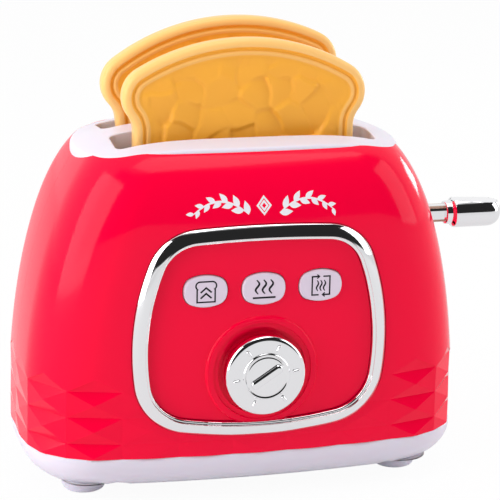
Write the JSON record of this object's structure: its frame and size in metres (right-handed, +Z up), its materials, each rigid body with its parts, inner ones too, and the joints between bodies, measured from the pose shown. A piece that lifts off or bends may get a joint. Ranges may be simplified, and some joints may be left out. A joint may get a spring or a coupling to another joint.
{
  "type": "toy toaster",
  "caption": "Toy pop-up toaster with a domed shell, lift-out slices on a sprung carriage, side lever, wind-up timer knob and push buttons.",
  "frame": {"origin": "middle of the whole toy's footprint, on the surface that its feet stand on", "axes": "+Z up; the control panel faces -Y; the lever is at +X"},
  "size_m": [0.217, 0.1156, 0.1935],
  "materials": {
    "body_red": "gloss",
    "pale_plastic": "satin",
    "chrome_trim": "polished plating",
    "button_plastic": "satin",
    "bread_plastic": "fine grain",
    "inner_plastic": "moulded",
    "gear_nylon": "moulded",
    "gear_brass": "turned",
    "plate_steel": "rolled sheet",
    "spring_steel": "drawn wire",
    "screw_steel": "zinc plated"
  },
  "bodies": {
    "root": {"front_shell": "body_red", "rear_shell": "body_red", "shell_screws": "screw_steel", "base": "pale_plastic", "base_screws": "screw_steel", "top_trim": "pale_plastic", "trim_screws": "screw_steel", "bezel_ring": "chrome_trim", "control_panel": "body_red", "panel_screws": "screw_steel", "button_spring_left": "spring_steel", "button_spring_centre": "spring_steel", "button_spring_right": "spring_steel", "button_bracket": "inner_plastic", "bracket_screws": "screw_steel", "timer_front_plate": "plate_steel", "timer_rear_plate": "plate_steel", "timer_pillars": "plate_steel", "timer_screws": "screw_steel", "mainspring": "spring_steel", "latch_pin": "spring_steel", "guide_rod_left": "spring_steel", "guide_rod_right": "spring_steel", "return_spring_left": "spring_steel", "return_spring_right": "spring_steel"},
    "carriage": {"carriage": "inner_plastic", "lever_cap": "chrome_trim", "lever_pin": "spring_steel"},
    "slice_front": {"bread_slice_front": "bread_plastic"},
    "slice_rear": {"bread_slice_rear": "bread_plastic"},
    "timer": {"timer_knob": "chrome_trim", "timer_shaft": "spring_steel", "main_gear": "gear_nylon", "release_cam": "gear_nylon"},
    "second_train": {"second_arbor": "gear_brass", "second_wheel": "gear_nylon"},
    "governor": {"governor_arbor": "gear_brass", "governor_flywheel": "gear_brass"},
    "latch": {"latch_lever": "gear_nylon"},
    "left_button": {"button_left": "button_plastic"},
    "centre_button": {"button_centre": "button_plastic"},
    "right_button": {"button_right": "button_plastic"}
  },
  "joints": [
    {"name": "carriage_slide", "type": "slide", "parent": "root", "child": "carriage", "axis": [0, 0, -1], "range_m": [0, 0.038], "stiffness_N_per_m": 120, "springref_m": -0.03, "deforming": ["return_spring_left", "return_spring_right"]},
    {"name": "front_slice_lift", "type": "slide", "parent": "carriage", "child": "slice_front", "axis": [0, 0, 1], "range_m": [0, 0.1]},
    {"name": "rear_slice_lift", "type": "slide", "parent": "carriage", "child": "slice_rear", "axis": [0, 0, 1], "range_m": [0, 0.1]},
    {"name": "timer_turn", "type": "hinge", "parent": "root", "child": "timer", "pos_m": [-0.0135, -0.05025, 0.0572], "axis": [0, 1, 0], "range_deg": [0, 300], "stiffness_Nm_per_rad": 0.004, "springref_deg": -28.65},
    {"name": "second_train_turn", "type": "hinge", "parent": "root", "child": "second_train", "pos_m": [0.00454, -0.03525, 0.06377], "axis": [0, 1, 0], "range_deg": [-900, 0]},
    {"name": "governor_turn", "type": "hinge", "parent": "root", "child": "governor", "pos_m": [0.01174, -0.03525, 0.0513], "axis": [0, 1, 0], "range_deg": [0, 2700]},
    {"name": "latch_swing", "type": "hinge", "parent": "root", "child": "latch", "pos_m": [0.0025, -0.02325, 0.043], "axis": [0, 1, 0], "range_deg": [0, 12]},
    {"name": "left_button_press", "type": "slide", "parent": "root", "child": "left_button", "axis": [0, 1, 0], "range_m": [0, 0.0015], "stiffness_N_per_m": 200, "springref_m": -0.001, "deforming": ["button_spring_left"]},
    {"name": "centre_button_press", "type": "slide", "parent": "root", "child": "centre_button", "axis": [0, 1, 0], "range_m": [0, 0.0015], "stiffness_N_per_m": 200, "springref_m": -0.001, "deforming": ["button_spring_centre"]},
    {"name": "right_button_press", "type": "slide", "parent": "root", "child": "right_button", "axis": [0, 1, 0], "range_m": [0, 0.0015], "stiffness_N_per_m": 200, "springref_m": -0.001, "deforming": ["button_spring_right"]}
  ],
  "couplings": [
    {"joint": "second_train_turn", "follows": "timer_turn", "ratio": -3},
    {"joint": "governor_turn", "follows": "timer_turn", "ratio": 9},
    {"joint": "latch_swing", "follows": "timer_turn", "ratio": 0.04}
  ]
}
